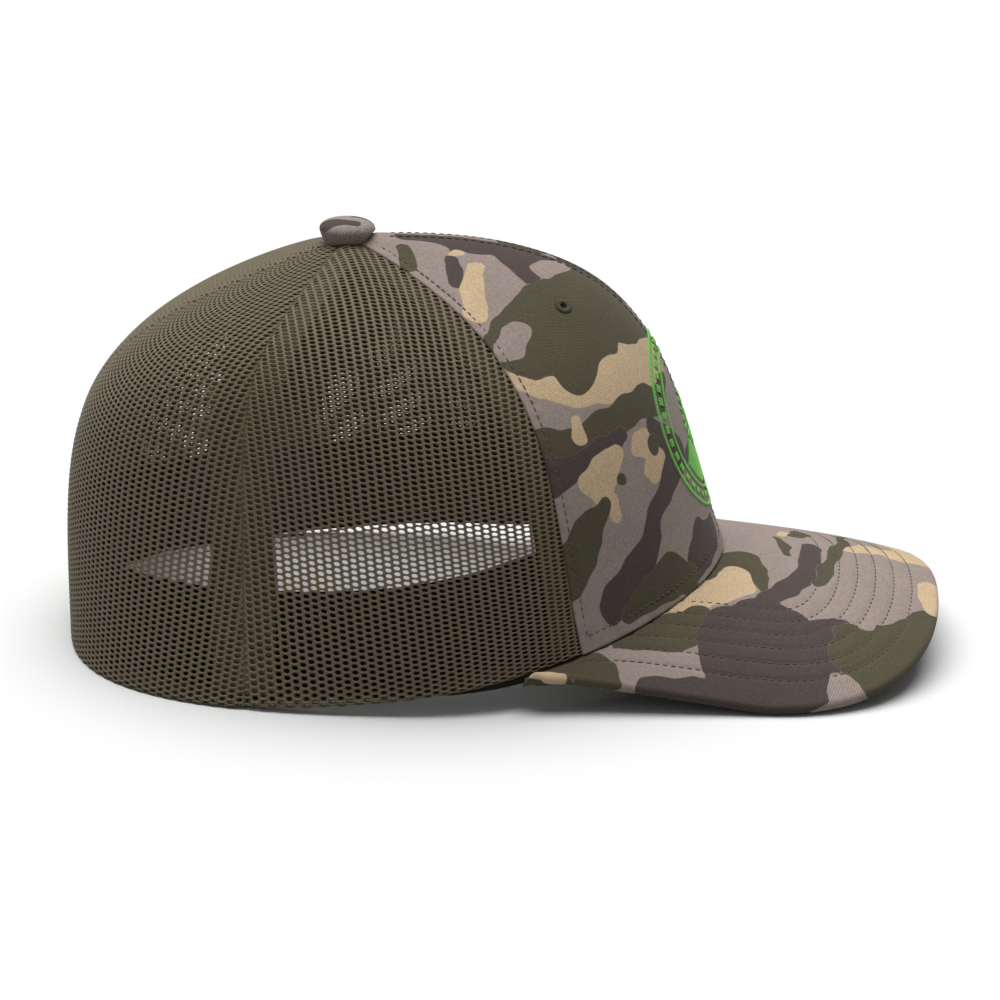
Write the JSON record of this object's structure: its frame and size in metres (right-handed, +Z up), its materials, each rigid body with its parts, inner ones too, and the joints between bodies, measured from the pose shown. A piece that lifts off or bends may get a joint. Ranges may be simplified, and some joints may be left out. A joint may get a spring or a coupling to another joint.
{
  "type": "trucker cap",
  "caption": "Structured trucker cap with a camouflage front, open mesh sides and back, closed stretch back, curved visor and a lifting inner label.",
  "frame": {"origin": "middle of the outline seen from above, on the plane the cap rests on", "axes": "+Z up out of the crown, -Y towards the visor's tip, +X towards the wearer's left"},
  "size_m": [0.1722, 0.2781, 0.1321],
  "materials": {
    "camo_twill": "matte printed cotton twill",
    "buckram": "matte",
    "mesh_netting": "matte knitted polyester mesh",
    "seam_tape": "matte",
    "sweatband_cloth": "matte",
    "edge_binding": "matte",
    "visor_camo_twill": "matte printed cotton twill",
    "visor_board": "satin",
    "visor_lining": "matte",
    "button_camo_twill": "matte printed cotton twill",
    "button_steel": "satin",
    "eyelet_thread": "satin thread",
    "badge_thread": "satin embroidery thread",
    "label_satin": "satin"
  },
  "bodies": {
    "cap": {"front_panel_right": "camo_twill", "front_panel_left": "camo_twill", "front_buckram_right": "buckram", "front_buckram_left": "buckram", "side_mesh_right": "mesh_netting", "side_mesh_left": "mesh_netting", "back_mesh_right": "mesh_netting", "back_mesh_left": "mesh_netting", "seam_tape_front_centre": "seam_tape", "seam_tape_front_right": "seam_tape", "seam_tape_front_left": "seam_tape", "seam_tape_back_right": "seam_tape", "seam_tape_back_left": "seam_tape", "seam_tape_back_centre": "seam_tape", "sweatband": "sweatband_cloth", "bottom_binding": "edge_binding", "visor_top_cover": "visor_camo_twill", "visor_board": "visor_board", "visor_bottom_cover": "visor_lining", "button_cover": "button_camo_twill", "button_core": "button_steel", "button_rivet": "button_steel", "eyelet_right": "eyelet_thread", "eyelet_left": "eyelet_thread", "front_badge": "badge_thread"},
    "label": {"size_label": "label_satin"}
  },
  "joints": [
    {"name": "label_lift", "type": "hinge", "parent": "cap", "child": "label", "pos_m": [0.06421, 0.08709, 0.03311], "axis": [-0.3297, 0.9441, 0], "range_deg": [0, 120]}
  ]
}
